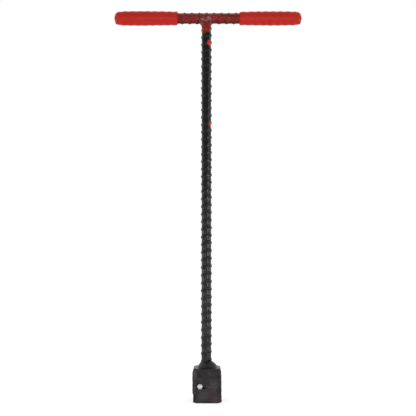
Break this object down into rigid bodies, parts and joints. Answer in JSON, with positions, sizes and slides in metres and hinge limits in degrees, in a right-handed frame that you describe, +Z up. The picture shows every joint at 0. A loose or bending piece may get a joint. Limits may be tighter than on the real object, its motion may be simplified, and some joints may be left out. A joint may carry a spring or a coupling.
{
  "type": "post driver",
  "caption": "T-handled post driver: ribbed steel shaft and cross bar, red sleeve grips and a welded plate socket with a cross bolt.",
  "frame": {"origin": "on the shaft's axis, level with the open mouth of the socket", "axes": "+Z up the shaft to the cross bar, X along the cross bar, -Y towards the side of the socket that has the nut"},
  "size_m": [0.3808, 0.0619, 0.7739],
  "materials": {
    "black_paint": "gloss",
    "oversprayed_paint": "satin",
    "red_vinyl": "satin",
    "zinc_plate": "satin"
  },
  "bodies": {
    "root": {"shaft_bar": "black_paint", "tee_weld": "black_paint", "shaft_weld": "black_paint", "head_thrust_plate": "black_paint", "thrust_plate_weld": "black_paint", "head_upper_front_plate": "black_paint", "head_lower_front_plate": "black_paint", "head_back_plate": "black_paint", "head_left_wall": "black_paint", "head_right_wall": "black_paint", "front_left_corner_weld": "black_paint", "front_right_corner_weld": "black_paint", "back_left_corner_weld": "black_paint", "back_right_corner_weld": "black_paint", "front_seam_weld": "black_paint", "cross_bar": "oversprayed_paint", "left_grip": "red_vinyl", "right_grip": "red_vinyl", "cross_bolt": "zinc_plate", "bolt_nut": "zinc_plate"}
  },
  "joints": []
}
